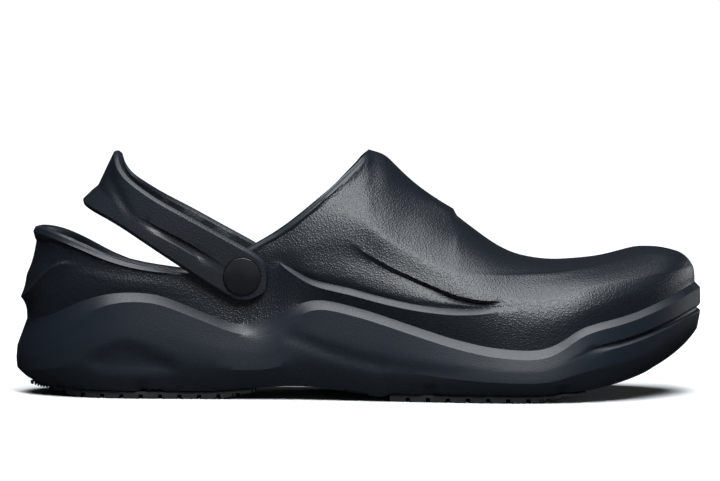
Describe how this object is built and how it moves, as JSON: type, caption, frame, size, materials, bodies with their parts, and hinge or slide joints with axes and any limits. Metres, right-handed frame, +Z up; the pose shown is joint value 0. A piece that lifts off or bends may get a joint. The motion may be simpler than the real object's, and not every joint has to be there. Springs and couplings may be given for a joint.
{
  "type": "chef clog",
  "caption": "Closed-toe slip-on work clog with a moulded foam upper and midsole, rubber outsole pads, an insole and a pivoting heel strap on rivets.",
  "frame": {"origin": "on the floor, under the middle of the clog's length and width", "axes": "+X towards the toe, along the clog's length; +Y towards the other foot, the inner side; +Z up from the floor"},
  "size_m": [0.2997, 0.1119, 0.1081],
  "materials": {
    "upper_and_midsole": "near-black blue-grey moulded foam, pebbled like leather on the upper and smoother on the sides",
    "outsole": "black matte rubber with blocks and fine cuts",
    "insole": "near-black soft foam",
    "heel_strap": "near-black blue-grey moulded foam with a fine grain",
    "rivets": "black glossy moulded plastic"
  },
  "bodies": {
    "root": {"upper_and_midsole": "upper_and_midsole", "outsole_heel": "outsole", "outsole_forefoot": "outsole", "insole": "insole", "heel_strap": "heel_strap", "rivet_outer": "rivets", "rivet_inner": "rivets", "washer_outer": "rivets", "washer_inner": "rivets"}
  },
  "joints": []
}
